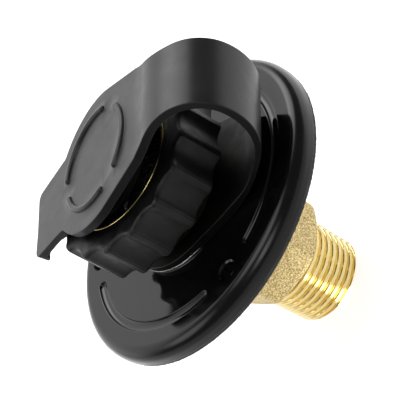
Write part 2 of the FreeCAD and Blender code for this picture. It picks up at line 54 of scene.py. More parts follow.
# ---------------------------------------------------------------- sizes in millimetres, as in the CAD model
FLANGE_R, FACE_Z, RIM_ROUND, RIM_SQUEEZE = 37.8, 5.84, 3.6, 0.79
SCREW_R, SCREW_ANGLES = 30.6, [-63.3 + 120 * k for k in range(3)]
GROOVE_ANGLES = [-123.3 + 120 * k for k in range(3)]
LOBES, LOBE_ANGLE = 16, -10.2
HEX_ANGLE = -91.0
THICK = 2.1
ARCS = [(31.0, 37.0), (16.45, 62.0), (10.7, 66.2), (17.4, 35.0), (34.6, -9.8)]
LID_TILT, LID_R, LID_X = 10.4, 17.8, -1.2
RIBS = [(12.7, 180.0, 92.0), (12.7, 57.0, 101.0), (12.0, -63.0, 95.0)]
STRAP_W, FLARE_R = 9.4, 29.8
FLAT_LENGTH, CAP_FOOT_Z = 14.0, 5.95
FLOOR_Z = -38.6


# ---------------------------------------------------------------- mesh helpers
class Shell:
    """Vertices with normals in sheet coordinates (u, v, t); t runs into the sheet and u x v = t."""

    def __init__(self):
        self.points, self.normals, self.faces, self.count = [], [], [], 0

    def add(self, points, normals):
        self.points.append(np.asarray(points, float))
        self.normals.append(np.asarray(normals, float))
        index = np.arange(self.count, self.count + len(points))
        self.count += len(points)
        return index

    def band(self, low, high):
        """Quads between two closed loops."""
        a, b = np.roll(low, -1), np.roll(high, -1)
        self.faces += np.stack([low, a, b, high], 1).tolist()

    def sweep(self, outline, profile, hole=False):
        """Carry an outline through a profile of (inset, t); returns the first and last loop."""
        outline = np.asarray(outline, float)
        if hole:
            outline = outline[::-1]
        along = np.roll(outline, -1, 0) - np.roll(outline, 1, 0)
        along /= np.linalg.norm(along, axis=1)[:, None]
        out = np.stack([along[:, 1], -along[:, 0]], 1)
        rings = []
        for (inset, t), (n_out, n_t) in zip(profile, profile_normals(profile)):
            flat = outline - out * inset
            place = np.column_stack([flat, np.full(len(flat), t)])
            rings.append(self.add(place, np.column_stack([out * n_out, np.full(len(flat), n_t)])))
        for low, high in zip(rings, rings[1:]):
            self.band(low, high)
        return rings[0], rings[-1]

    def fill(self, outer, holes, side, inside=()):
        """Triangles across a flat face bounded by loops; side is +1 or -1 for the way it faces along t."""
        points = np.vstack(self.points)
        loops = [outer] + list(holes)
        index = np.concatenate(loops)
        flat = points[index][:, :2]
        t = points[index[0]][2]
        edges, start = [], 0
        for loop in loops:
            edges += [(start + i, start + (i + 1) % len(loop)) for i in range(len(loop))]
            start += len(loop)
        extra = np.asarray(inside, float).reshape(-1, 2)
        if len(extra):
            keep = within(extra, points[outer][:, :2]) & (gap(extra, flat) > 0.35)
            for hole in holes:
                keep &= ~within(extra, points[hole][:, :2])
            extra = extra[keep]
            normals = np.tile([0.0, 0.0, side], (len(extra), 1))
            added = self.add(np.column_stack([extra, np.full(len(extra), t)]), normals)
            index = np.concatenate([index, added])
            flat = np.vstack([flat, extra])
        result = geometry.delaunay_2d_cdt([Vector(p) for p in flat], edges, [], 0, 1e-7, True)
        spots = np.array([tuple(p) for p in result[0]])
        source = [ids[0] for ids in result[3]]
        triangles = np.array(result[2])
        middle = spots[triangles].mean(1)
        good = within(middle, points[outer][:, :2])
        for hole in holes:
            good &= ~within(middle, points[hole][:, :2])
        for triangle in triangles[good]:
            a, b, c = (spots[k] for k in triangle)
            turn = (b[0] - a[0]) * (c[1] - a[1]) - (b[1] - a[1]) * (c[0] - a[0])
            ids = [int(index[source[k]]) for k in triangle]
            self.faces.append(ids if turn * side > 0 else ids[::-1])


def within(points, polygon):
    """Which points lie inside a closed polygon."""
    x, y = points[:, 0][:, None], points[:, 1][:, None]
    a, b = polygon, np.roll(polygon, -1, 0)
    crosses = (a[:, 1] > y) != (b[:, 1] > y)
    rise = np.where(b[:, 1] == a[:, 1], 1e-12, b[:, 1] - a[:, 1])
    hit = crosses & (x < (b[:, 0] - a[:, 0]) * (y - a[:, 1]) / rise + a[:, 0])
    return hit.sum(1) % 2 == 1


def gap(points, others):
    """Distance from each point to the nearest of the others."""
    return np.array([np.hypot(*(others - p).T).min() for p in points])


def profile_normals(profile):
    """Normals (outward, along t) of a profile of (inset, t)."""
    p = np.array(profile, float)
    step = np.gradient(p, axis=0)
    normals = np.stack([step[:, 1], step[:, 0]], 1)
    return normals / np.linalg.norm(normals, axis=1)[:, None]


def rounded(corners, parts):
    """Polyline through corners (u, v, radius) with round corners."""
    points = []
    n = len(corners)
    for i, corner in enumerate(corners):
        here = np.array(corner[:2], float)
        radius = corner[2] if len(corner) > 2 else 0.0
        if radius <= 0 or i in (0, n - 1):
            points.append(here)
            continue
        back = np.array(corners[i - 1][:2], float) - here
        ahead = np.array(corners[i + 1][:2], float) - here
        back, ahead = back / np.linalg.norm(back), ahead / np.linalg.norm(ahead)
        half = np.arccos(np.clip(back @ ahead, -1, 1)) / 2
        reach = radius / tan(half)
        centre = here + (back + ahead) / np.linalg.norm(back + ahead) * radius / sin(half)
        first, last = here + back * reach - centre, here + ahead * reach - centre
        turn = atan2(first[0] * last[1] - first[1] * last[0], first @ last)
        for k in range(parts + 1):
            c, s = cos(turn * k / parts), sin(turn * k / parts)
            points.append(centre + np.array([first[0] * c - first[1] * s, first[0] * s + first[1] * c]))
    return np.array(points)


def densify(points, step, closed=True):
    """Add points so that no side is longer than a step."""
    points = np.asarray(points, float)
    ends = np.roll(points, -1, 0) if closed else points[1:]
    result = []
    for a, b in zip(points, ends):
        n = max(1, int(np.ceil(np.linalg.norm(b - a) / step)))
        result += [a + (b - a) * k / n for k in range(n)]
    if not closed:
        result.append(points[-1])
    return np.array(result)


def circle(radius, n, u=0.0, v=0.0):
    """Points of a circle about (u, v), counter-clockwise."""
    turn = np.linspace(0, 2 * pi, n, endpoint=False)
    return np.column_stack([u + radius * np.cos(turn), v + radius * np.sin(turn)])


def polar(radius, turn):
    """Points (x, y) at a radius, or a radius for each angle, about the origin."""
    return np.column_stack([radius * np.cos(turn), radius * np.sin(turn)])


def axis_ring(radius, z, turn):
    """A closed ring of points (x, y, z) about the Z axis."""
    return np.column_stack([polar(radius, turn), z + 0 * turn])


def slot_outline(radius, half, middle, span, n_arc, n_cap):
    """Outline of a curved slot about the origin, counter-clockwise; span is from tip to tip in degrees."""
    reach = radians(span / 2) - half / radius
    start, end = radians(middle) - reach, radians(middle) + reach
    outer, inner = np.linspace(start, end, n_arc), np.linspace(end, start, n_arc)
    cap = np.linspace(0, pi, n_cap + 2)[1:-1]
    points = [polar(radius + half, outer)]
    for at, turn in ((end, cap), (start, cap + pi)):
        centre = radius * np.array([cos(at), sin(at)])
        points.append(centre + polar(half, at + turn))
        if at == end:
            points.append(polar(radius - half, inner))
    return np.vstack(points)


def new_object(name, points, faces, material, normals=None):
    """Smooth mesh object from millimetre points."""
    mesh = bpy.data.meshes.new(name)
    mesh.from_pydata((np.asarray(points) * MM).tolist(), [], faces)
    mesh.shade_smooth()
    if normals is not None:
        mesh.normals_split_custom_set_from_vertices(np.asarray(normals).tolist())
    mesh.materials.append(material)
    piece = bpy.data.objects.new(name, mesh)
    bpy.context.scene.collection.objects.link(piece)
    return piece


def grid_object(name, grid, material, closed_profile, sharp):
    """Mesh from rows of points, each row a closed ring about the axis; faces look left of the row order."""
    rows, columns, _ = grid.shape
    index = np.arange(rows * columns).reshape(rows, columns)
    if closed_profile:
        index = np.vstack([index, index[:1]])
    a, b = index[:-1], index[1:]
    faces = np.stack([a, np.roll(a, -1, 1), np.roll(b, -1, 1), b], -1).reshape(-1, 4)
    piece = new_object(name, grid.reshape(-1, 3), faces.tolist(), material)
    piece.data.set_sharp_from_angle(angle=radians(sharp))
    return piece


def smooth_step(x, low, high):
    """0 below low, 1 above high, with a soft start and end between."""
    part = np.clip((x - low) / (high - low), 0, 1)
    return part * part * (3 - 2 * part)


def soft_min(a, b, soft):
    """The smaller of two values, blended over about a soft distance where they cross."""
    return -soft * np.log(np.exp(-a / soft) + np.exp(-b / soft))


def thread_tooth(phase, steep, root):
    """Height of a thread's ridge, 0 to 1, across one pitch; steep sets its flanks, root its flat valley."""
    return np.clip((0.5 - np.abs(phase - 0.5)) / 0.5 * steep - root, 0, 1)


def ripple(x, y, z, seed, waves, size):
    """Smooth irregularity from a few sine waves, about -1 to 1; size is its length scale in millimetres."""
    source = np.random.RandomState(seed)
    total = 0 * x
    for _ in range(waves):
        a, b, c = source.normal(size=3) / size
        total = total + np.sin(a * x + b * y + c * z + source.uniform(0, 6.3))
    return total / sqrt(waves)


# ---------------------------------------------------------------- materials
class Nodes:
    """Short calls for building a material's nodes."""

    def __init__(self, name, **shader):
        self.material = bpy.data.materials.new(name)
        self.material.use_nodes = True
        self.tree = self.material.node_tree
        self.shader = self.tree.nodes["Principled BSDF"]
        for socket, value in shader.items():
            self.shader.inputs[socket.replace("_", " ")].default_value = value
        self.place = self.tree.nodes.new("ShaderNodeTexCoord").outputs["Object"]

    def link(self, source, target):
        self.tree.links.new(source, target)

    def mapped(self, source, low, high, falling=False):
        """0 to 1 as a value goes from low to high, or 1 to 0 with soft ends when falling."""
        node = self.tree.nodes.new("ShaderNodeMapRange")
        values = [("From Min", low), ("From Max", high)]
        if falling:
            node.interpolation_type = "SMOOTHSTEP"
            values += [("To Min", 1.0), ("To Max", 0.0)]
        for name, value in values:
            node.inputs[name].default_value = value
        self.link(source, node.inputs["Value"])
        return node.outputs["Result"]

    def noise(self, scale, detail=3.0, roughness=0.55, stretch=None):
        node = self.tree.nodes.new("ShaderNodeTexNoise")
        node.inputs["Scale"].default_value = scale
        node.inputs["Detail"].default_value = detail
        node.inputs["Roughness"].default_value = roughness
        self.link(self.stretched(stretch), node.inputs["Vector"])
        return node.outputs["Fac"]

    def stretched(self, stretch):
        if stretch is None:
            return self.place
        node = self.tree.nodes.new("ShaderNodeMapping")
        node.inputs["Scale"].default_value = stretch
        self.link(self.place, node.inputs["Vector"])
        return node.outputs["Vector"]

    def ramp(self, source, stops):
        """Colour or value ramp; a stop is (position, grey or colour)."""
        node = self.tree.nodes.new("ShaderNodeValToRGB")
        items = node.color_ramp.elements
        while len(items) < len(stops):
            items.new(0.5)
        for item, (position, colour) in zip(items, stops):
            item.position = position
            grey = isinstance(colour, (int, float))
            item.color = (colour, colour, colour, 1) if grey else (*colour, 1)
        self.link(source, node.inputs["Fac"])
        return node.outputs["Color"]

    def mix(self, amount, a, b):
        node = self.tree.nodes.new("ShaderNodeMix")
        node.data_type = "RGBA"
        for socket, value in ((node.inputs[0], amount), (node.inputs[6], a), (node.inputs[7], b)):
            self.link(value, socket)
        return node.outputs[2]

    def from_axis(self, near, far):
        """0 up to the near distance from the Z axis, rising to 1 at the far one."""
        flat = self.tree.nodes.new("ShaderNodeVectorMath")
        flat.operation = "MULTIPLY"
        flat.inputs[1].default_value = (1, 1, 0)
        self.link(self.place, flat.inputs[0])
        size = self.tree.nodes.new("ShaderNodeVectorMath")
        size.operation = "LENGTH"
        self.link(flat.outputs["Vector"], size.inputs[0])
        return self.mapped(size.outputs["Value"], near, far)

    def colour(self, source):
        self.link(source, self.shader.inputs["Base Color"])

    def rough(self, source):
        self.link(source, self.shader.inputs["Roughness"])

    def glow(self, fades, strength):
        """Light given off, dying away along each direction between its near and far distances."""
        level = None
        for direction, near, far in fades:
            along = self.tree.nodes.new("ShaderNodeVectorMath")
            along.operation = "DOT_PRODUCT"
            along.inputs[1].default_value = direction
            self.link(self.place, along.inputs[0])
            product = self.tree.nodes.new("ShaderNodeMath")
            product.operation = "MULTIPLY"
            product.inputs[1].default_value = strength
            if level is not None:
                self.link(level, product.inputs[1])
            self.link(self.mapped(along.outputs["Value"], near, far, True), product.inputs[0])
            level = product.outputs["Value"]
        self.link(level, self.shader.inputs["Emission Strength"])

    def bump(self, source, strength, distance, under=None):
        node = self.tree.nodes.new("ShaderNodeBump")
        node.inputs["Strength"].default_value = strength
        node.inputs["Distance"].default_value = distance
        self.link(source, node.inputs["Height"])
        if under is not None:
            self.link(under, node.inputs["Normal"])
        self.link(node.outputs["Normal"], self.shader.inputs["Normal"])
        return node.outputs["Normal"]


def flange_plastic():
    """Glossy moulding, its face handled smooth and its rim duller."""
    m = Nodes("gloss_black_plastic", IOR=1.49, Specular_IOR_Level=0.33)
    cloud = m.noise(60, 4)
    m.colour(m.ramp(cloud, [(0.3, (0.0012, 0.0012, 0.0013)), (0.7, (0.0026, 0.0026, 0.0027))]))
    handled = m.ramp(m.noise(190, 5), [(0.3, 0.05), (0.75, 0.12)])
    rim = m.ramp(m.noise(260, 5), [(0.3, 0.17), (0.75, 0.27)])
    m.rough(m.mix(m.from_axis(0.0325, 0.0365), handled, rim))
    base = m.bump(m.noise(55, 2), 0.12, 0.0004)
    m.bump(m.noise(2600, 2), 0.04, 0.00005, base)
    return m.material


def collar_plastic():
    """Matt moulding with a fine grain."""
    m = Nodes("matt_black_plastic", IOR=1.49, Specular_IOR_Level=0.3)
    cloud = m.noise(120, 5)
    m.colour(m.ramp(cloud, [(0.3, (0.0032, 0.0032, 0.0032)), (0.75, (0.0075, 0.0075, 0.0074))]))
    m.rough(m.ramp(m.noise(420, 4), [(0.3, 0.30), (0.7, 0.52)]))
    base = m.bump(m.noise(3200, 3, 0.6), 0.4, 0.00008)
    m.bump(m.noise(600, 3), 0.3, 0.00016, base)
    return m.material


def cap_rubber():
    """Soft moulded rubber with a satin skin."""
    m = Nodes("satin_black_rubber", IOR=1.5, Specular_IOR_Level=0.3)
    cloud = m.noise(75, 6, 0.6)
    m.colour(m.ramp(cloud, [(0.25, (0.009, 0.009, 0.0092)), (0.75, (0.018, 0.018, 0.0182))]))
    m.rough(m.ramp(m.noise(240, 5), [(0.3, 0.27), (0.75, 0.38)]))
    first = m.bump(m.noise(2400, 4, 0.6), 0.3, 0.00006)
    m.bump(m.noise(420, 3), 0.18, 0.00016, first)
    return m.material


def shaded_rubber():
    """Darker copy of the cap rubber: painted shade on the cap's walls and underside. Its skin is also duller.
    """
    m = Nodes("shaded_black_rubber", IOR=1.5, Specular_IOR_Level=0.14)
    m.colour(m.ramp(m.noise(150, 4), [(0.3, (0.0022, 0.0022, 0.0023)), (0.7, (0.005, 0.005, 0.005))]))
    m.rough(m.ramp(m.noise(300, 3), [(0.3, 0.4), (0.7, 0.55)]))
    m.bump(m.noise(1500, 3), 0.2, 0.00006)
    return m.material


def gasket_rubber():
    """Dull, slightly open rubber sheet."""
    m = Nodes("gasket_rubber", IOR=1.5)
    m.colour(m.ramp(m.noise(500, 5), [(0.3, (0.016, 0.016, 0.016)), (0.7, (0.04, 0.04, 0.04))]))
    m.rough(m.ramp(m.noise(300), [(0.3, 0.6), (0.7, 0.8)]))
    m.bump(m.noise(2500, 4, 0.7), 0.5, 0.0001)
    return m.material


def seal_rubber(name, grey):
    """Smooth moulded rubber of a given grey."""
    m = Nodes(name, IOR=1.5)
    m.colour(m.ramp(m.noise(400, 4), [(0.3, grey * 0.7), (0.7, grey * 1.3)]))
    m.rough(m.ramp(m.noise(260), [(0.3, 0.42), (0.7, 0.6)]))
    m.bump(m.noise(1800, 3), 0.25, 0.00006)
    return m.material


def brass(name, cast):
    """Cast brass with a sandy skin, or turned brass with fine rings."""
    m = Nodes(name, Metallic=1.0, IOR=1.45)
    if cast:
        grain = m.noise(3000, 2, 0.6)
        skin = [(0.36, (0.30, 0.205, 0.072)), (0.5, (0.54, 0.41, 0.18)), (0.64, (0.84, 0.70, 0.39))]
        m.colour(m.ramp(grain, skin))
        m.rough(m.ramp(m.noise(900, 4), [(0.25, 0.38), (0.8, 0.55)]))
        m.bump(grain, 0.8, 0.00016)
    else:
        m.colour(m.ramp(m.noise(90, 6, 0.65), [(0.28, (0.70, 0.52, 0.19)), (0.72, (0.87, 0.73, 0.37))]))
        m.rough(m.ramp(m.noise(700, 4), [(0.25, 0.12), (0.8, 0.24)]))
        m.bump(m.noise(1600, 3), 0.15, 0.00005)
    return m.material


def shaded_brass():
    """Near-black brass: painted shade on the brass hidden inside the collar and the swivel nut."""
    m = Nodes("shaded_brass", Metallic=1.0)
    m.colour(m.ramp(m.noise(260, 4), [(0.3, (0.020, 0.016, 0.009)), (0.75, (0.045, 0.036, 0.018))]))
    m.rough(m.ramp(m.noise(500, 3), [(0.3, 0.45), (0.75, 0.62)]))
    m.bump(m.noise(1500, 3), 0.3, 0.00006)
    return m.material


def steel():
    """Stainless steel with faint streaks about the axis."""
    m = Nodes("stainless_steel", Metallic=1.0)
    m.colour(m.ramp(m.noise(300, 4), [(0.3, (0.58, 0.57, 0.56)), (0.7, (0.78, 0.77, 0.76))]))
    m.rough(m.ramp(m.noise(800), [(0.3, 0.22), (0.75, 0.38)]))
    m.bump(m.noise(900, 3, stretch=(1.0, 1.0, 6.0)), 0.2, 0.00005)
    return m.material


def white_plastic():
    """White plastic that lets a little light in."""
    m = Nodes("white_acetal", IOR=1.48, Subsurface_Weight=0.08, Subsurface_Scale=0.001)
    m.colour(m.ramp(m.noise(200, 4), [(0.3, (0.62, 0.61, 0.57)), (0.75, (0.76, 0.75, 0.71))]))
    m.rough(m.ramp(m.noise(500), [(0.3, 0.34), (0.75, 0.5)]))
    m.bump(m.noise(1500, 3), 0.2, 0.00006)
    return m.material


GLOSS, MATT, RUBBER, GASKET = flange_plastic(), collar_plastic(), cap_rubber(), gasket_rubber()
# Darker rubber for the cap's walls and underside: painted shade.
SHADED_WALL = shaded_rubber()
# The last of these is near-black brass for painted shade inside the collar and nut.
CAST, TURNED, SHADED_BRASS = brass("cast_brass", True), brass("turned_brass", False), shaded_brass()
STEEL, WHITE = steel(), white_plastic()
SEAL, WASHER = seal_rubber("seal_rubber", 0.02), seal_rubber("washer_rubber", 0.045)


# ---------------------------------------------------------------- flange
def face_map(shell, top):
    """Sheet coordinates of a face that looks along +Z: u is Y, v is X and t runs down from the top."""
    p, n = np.vstack(shell.points), np.vstack(shell.normals)
    return np.column_stack([p[:, 1], p[:, 0], top - p[:, 2]]), np.column_stack([n[:, 1], n[:, 0], -n[:, 2]])


def swapped(outline):
    """X and Y of an outline changed to sheet u and v, kept counter-clockwise."""
    return np.asarray(outline)[::-1, ::-1]


def hexagon_radius(turn, flats, corner):
    """Polar radius of a hexagon with round corners."""
    away = np.mod(turn - radians(HEX_ANGLE) + pi / 6, pi / 3) - pi / 6
    reach = (flats / 2 - corner) / cos(pi / 6)
    flat = flats / 2 / np.cos(pi / 6 - np.abs(away))
    inside = np.clip(corner ** 2 - (reach * np.sin(away)) ** 2, 0, None)
    arc = reach * np.cos(away) + np.sqrt(inside)
    limit = pi / 6 - atan2((flats / 2 - corner) * tan(pi / 6), flats / 2)
    return np.where(np.abs(away) < limit, arc, flat)


def make_flange():
    """Round plate with a hub behind it, three screw holes and three curved grooves in its face."""
    shell = Shell()
    n = 288
    lip = rounded([(0.4, 0), (0, 0, 0.3), (-0.1, 0.25)], 5)
    bowl = [(-1.12 + 1.02 * cos(a), 0.25 + 0.45 * sin(a)) for a in np.linspace(0.2, pi / 2, 7)]
    hollow = [tuple(p) for p in lip] + bowl
    rim = rounded([(RIM_ROUND, 0), (0, 0, RIM_ROUND - 0.02), (0, FACE_Z - 0.8, 0.3), (1.0, FACE_Z - 0.8)], 16)
    rim = [(inset * RIM_SQUEEZE if t < RIM_ROUND else inset, t) for inset, t in rim]
    front_outer, back_outer = shell.sweep(swapped(circle(FLANGE_R, n)), rim)
    hub = rounded([(-0.6, FACE_Z - 0.8), (0, FACE_Z - 0.8, 0.3), (0, FACE_Z + 7, 0.5), (2.1, FACE_Z + 7)], 6)
    hub_first, hub_last = shell.sweep(swapped(circle(17.0, n)), [tuple(p) for p in hub])
    turn = np.linspace(0, 2 * pi, n, endpoint=False)
    hexagon = polar(hexagon_radius(turn, 25.3, 2.6), turn)
    socket = rounded([(0.3, FACE_Z + 7), (0, FACE_Z + 7, 0.25), (0, FACE_Z + 3)], 3)
    socket_first, socket_last = shell.sweep(swapped(hexagon), [tuple(p) for p in socket[::-1]], True)
    bore = [(0, FACE_Z + 3), (0, 1.5)]
    bore_low, bore_high = shell.sweep(swapped(circle(11.9, n)), bore[::-1], True)
    recess = rounded([(0.25, 0), (0, 0, 0.2), (0, 1.5)], 3)
    recess_first, recess_last = shell.sweep(swapped(circle(14.5, n)), [tuple(p) for p in recess], True)
    shell.fill(recess_last[::-1], [bore_low[::-1]], -1)
    shell.fill(socket_first, [bore_high], 1)
    shell.fill(hub_last, [socket_last[::-1]], 1)
    holes_front, holes_back = [recess_first[::-1]], [hub_first]
    for angle in SCREW_ANGLES:
        x, y = SCREW_R * cos(radians(angle)), SCREW_R * sin(radians(angle))
        sink = rounded([(0.7, 0), (0.4, 0, 0.1), (0, 0.4, 0.1), (0, FACE_Z - 0.8)], 4)
        first, last = shell.sweep(swapped(circle(2.3, 64, x, y)), [tuple(p) for p in sink], True)
        holes_front.append(first[::-1])
        holes_back.append(last[::-1])
    for angle in GROOVE_ANGLES:
        outline = swapped(slot_outline(30.23, 1.23, angle, 93.3, 90, 12))
        first, last = shell.sweep(outline, hollow, True)
        holes_front.append(first[::-1])
        shell.fill(last[::-1], [], -1)
    shell.fill(front_outer, holes_front, -1)
    shell.fill(back_outer, holes_back, 1)
    points, normals = face_map(shell, FACE_Z)
    piece = new_object("flange_body", points, shell.faces, GLOSS, normals)
    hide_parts("flange")
    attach(piece, "fitting")


def make_gasket():
    """Thin gasket behind the flange, its edge slightly uneven."""
    shell = Shell()
    n = 720
    turn = np.linspace(0, 2 * pi, n, endpoint=False)
    wave = ripple(8 * turn, 5 * np.cos(9 * turn), 5 * np.sin(7 * turn), 5, 12, 0.12)
    outline = polar(37.55 + 0.07 * wave, turn)
    side = rounded([(0.4, 0), (0, 0, 0.15), (0, 0.8, 0.15), (0.4, 0.8)], 3)
    top, bottom = shell.sweep(swapped(outline), [tuple(p) for p in side])
    tops, bottoms = [], []
    for radius, count, x, y in [(18.0, 160, 0, 0)] + [
            (2.3, 40, SCREW_R * cos(radians(a)), SCREW_R * sin(radians(a))) for a in SCREW_ANGLES]:
        first, last = shell.sweep(swapped(circle(radius, count, x, y)), [tuple(p) for p in side], True)
        tops.append(first[::-1])
        bottoms.append(last[::-1])
    shell.fill(top, tops, -1)
    shell.fill(bottom, bottoms, 1)
    points, normals = face_map(shell, 0.8)
    piece = new_object("gasket", points, shell.faces, GASKET, normals)
    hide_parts("flange_gasket")
    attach(piece, "fitting")


# ---------------------------------------------------------------- valve body
def make_valve_body():
    """Brass body from its nose down the hexagon and pipe thread, and back up through its bore."""
    n = 360
    turn = np.linspace(0, 2 * pi, n, endpoint=False)
    rows = []
    nose = rounded([(7.0, -2.0), (7.0, 13.4, 0.4), (11.5, 13.4, 0.5), (11.5, 12.25, 0.05), (11.0, 12.25),
                    (11.0, 10.45), (11.5, 10.45), (11.5, 5.5), (10.95, 5.5), (10.95, 4.35), (11.5, 4.35),
                    (11.5, 2.15), (10.02, 2.15), (10.02, 0.05), (11.5, 0.05), (11.5, -3.0)], 4)
    rows += [axis_ring(radius, z, turn) for radius, z in nose]
    hexagon = hexagon_radius(turn, 25.0, 1.9)
    x, y = hexagon * np.cos(turn), hexagon * np.sin(turn)
    for z in np.concatenate([[-3.0], np.linspace(-7.0, -20.5, 40), np.linspace(-20.7, -23.5, 16)]):
        skin = 0.05 * ripple(x, y, z + 0 * x, 3, 16, 2.4) + 0.03 * ripple(x, y, z + 0 * x, 4, 20, 0.9)
        low = -23.5 - z
        drop = sqrt(max(3.0 ** 2 - (3.0 + low) ** 2, 0.0)) if z < -20.5 else 3.0
        radius = soft_min(hexagon, 11.9 + drop, 0.35)
        rows.append(axis_ring(np.where(z > -5, hexagon, radius + skin), z, turn))
    rows += [axis_ring(10.1, -23.55, turn), axis_ring(9.5, -23.75, turn)]
    pitch, start = 1.814, -24.2
    for z in np.arange(-23.9, -38.45, -pitch / 15):
        crest = 10.79 + (z + 24.6) / 32
        phase = np.mod((z - start) / pitch - turn / (2 * pi), 1.0)
        depth = 0.85 * (1 - thread_tooth(phase, 2.3, 0.12))
        radius = crest - depth
        entry = smooth_step(np.full(n, z), -23.9, -24.9)
        radius = 9.5 + (radius - 9.5) * entry
        radius = np.minimum(radius, 9.35 + (z + 38.5) * 1.05)
        rows.append(axis_ring(radius, z, turn))
    bore = rounded([(9.3, -38.5), (7.8, -38.5, 0.3), (7.8, -20.85), (8.3, -20.85), (8.3, -19.65),
                    (7.8, -19.65), (7.8, -5.0), (5.6, -5.0, 0.2), (5.6, -2.0), (6.9, -2.0)], 4)
    rows += [axis_ring(radius, z, turn) for radius, z in bore]
    piece = grid_object("valve_casting", np.array(rows), CAST, True, 60)
    piece.data.materials.append(TURNED)
    piece.data.materials.append(SHADED_BRASS)
    mesh = piece.data
    height = np.array([p.center.z for p in mesh.polygons]) / MM
    reach = np.array([sqrt(p.center.x ** 2 + p.center.y ** 2) for p in mesh.polygons]) / MM
    # Faces above z -3, hidden inside the flange and collar, get the near-black brass: painted shade.
    hidden = height > -3
    cast = (height < -3) & (height > -23.62) & (reach > 9.9)
    finish = np.where(hidden, 2, np.where(cast, 0, 1))
    mesh.polygons.foreach_set("material_index", finish.astype(np.int32))
    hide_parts("valve_body")
    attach(piece, "fitting")


# ---------------------------------------------------------------- swivel collar and its brass nut
def make_collar():
    """Grip collar with scallops round its side and a fine notch along each land."""
    step = 360.0 / LOBES
    local = np.concatenate([np.linspace(-step / 2, -3.2, 12), np.linspace(-2.9, 1.2, 15),
                            np.linspace(1.4, 2.9, 13), np.linspace(3.2, step / 2, 12)[:-1]])
    turn = np.radians(np.concatenate([LOBE_ANGLE + step * k + local for k in range(LOBES)]))
    away = np.tile(local, LOBES)
    across = np.radians(step / 2 - np.abs(away))
    land, notch = 22.22, 0.16
    lobe = soft_min(land, scallop_radius(across), 0.16)
    lobe = lobe - notch * np.exp(-((away - 2.0) / 0.42) ** 2)
    bore, mouth, foot, top, bottom = 15.66, 15.8, 14.6, 25.8, 14.0
    side = densify(rounded([(1.9, top), (0, top, 1.05), (0, bottom, 0.5), (2.0, bottom)], 7), 0.9, False)
    section = [(bore, 24.5), (bore, 25.65), (mouth, top), (0.5 * (mouth + lobe - 1.9), top)]
    section += [(lobe - inset, z) for inset, z in side]
    section += [(0.5 * (foot + lobe - 2.0), bottom), (14.75, bottom), (foot, 14.15), (foot, 15.2)]
    rows = [axis_ring(radius, z, turn) for radius, z in section]
    piece = grid_object("grip_collar", np.array(rows), MATT, False, 50)
    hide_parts("collar")
    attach(piece, "swivel")


def scallop_radius(across):
    """Polar radius of the scallop's wall; beyond the scallop it grows past the land."""
    inside = 5.15 ** 2 - (25.75 * np.sin(across)) ** 2
    return np.where(inside > 0, 25.75 * np.cos(across) - np.sqrt(np.clip(inside, 0, None)), 24.0)


def make_hose_insert():
    """Brass swivel nut inside the collar, with the hose thread in its mouth."""
    n = 192
    turn = np.linspace(0, 2 * pi, n, endpoint=False)
    outside = rounded([(13.0, 15.7), (13.0, 10.4), (11.8, 10.4), (11.8, 9.3, 0.15), (14.5, 9.3, 0.3),
                       (14.5, 14.02), (15.63, 14.02), (15.63, 25.9, 0.22), (15.0, 25.9, 0.15),
                       (13.6, 24.9)], 4)
    rows = [axis_ring(radius, z, turn) for radius, z in outside]
    pitch, crest = 2.209, 12.38
    for z in np.arange(24.8, 15.75, -pitch / 14):
        phase = np.mod((z / pitch) - turn / (2 * pi), 1.0)
        depth = 1.2 * (1 - thread_tooth(phase, 1.3, 0.15)) * smooth_step(np.full(n, z), 15.8, 16.8)
        radius = np.maximum(crest + depth, crest + np.clip(z - 23.7, 0, 2) * 1.05)
        rows.append(axis_ring(radius, z, turn))
    piece = grid_object("swivel_nut", np.array(rows), TURNED, True, 45)
    piece.data.materials.append(SHADED_BRASS)
    # Only the mouth's rim and the outer foot keep the turned brass; the rest gets the near-black brass,
    # painted shade.
    for face in piece.data.polygons:
        x, y, z = face.center / MM
        unshaded_rim, unshaded_foot = z > 25.2, z < 9.62 and hypot(x, y) > 14.1
        unshaded = unshaded_rim or unshaded_foot
        face.material_index = 0 if unshaded else 1
    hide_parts("hose_insert")
    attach(piece, "swivel")


# ---------------------------------------------------------------- flexible cap
def strap_frame(s):
    """Place (x, z) and heading of the strap's outer surface at a length along it."""
    s = np.asarray(s, float)
    x, z, heading, begin = np.minimum(s, FLAT_LENGTH), CAP_FOOT_Z + 0 * s, 0 * s, FLAT_LENGTH
    for radius, turn in ARCS:
        sense = 1.0 if turn > 0 else -1.0
        length = radius * radians(abs(turn))
        after = heading + sense * np.clip(s - begin, 0, length) / radius
        x = x + sense * radius * (np.sin(after) - np.sin(heading))
        z = z + sense * radius * (np.cos(heading) - np.cos(after))
        heading, begin = after, begin + length
    rest = np.maximum(s - begin, 0)
    return x + rest * np.cos(heading), z + rest * np.sin(heading), heading


BEND_END = FLAT_LENGTH + sum(radius * radians(abs(turn)) for radius, turn in ARCS)
LID_S = BEND_END + (float(strap_frame(BEND_END)[0]) - LID_X) / cos(radians(LID_TILT))
# Lengths along the strap where the cap is parted into three pieces
CUT_LOW, CUT_HIGH = 47.5, 71.5
# Shares of the thickness taken off the tab and the strap's root, and how far one tab corner is drawn out
TAB_THINNING, ROOT_THINNING = 0.19, 0.38
CORNER_ALONG, CORNER_ACROSS = 0.4, 1.7
BEAD_HEIGHT, BEAD_PLACE, BEAD_HALF = 1.3, 25.9, 0.95


def flare(x):
    """Half width of the upper strap at a distance x from the axis; it widens towards the lid."""
    return STRAP_W + FLARE_R - np.sqrt(FLARE_R ** 2 - np.clip(31.0 - x, 0, 16) ** 2)


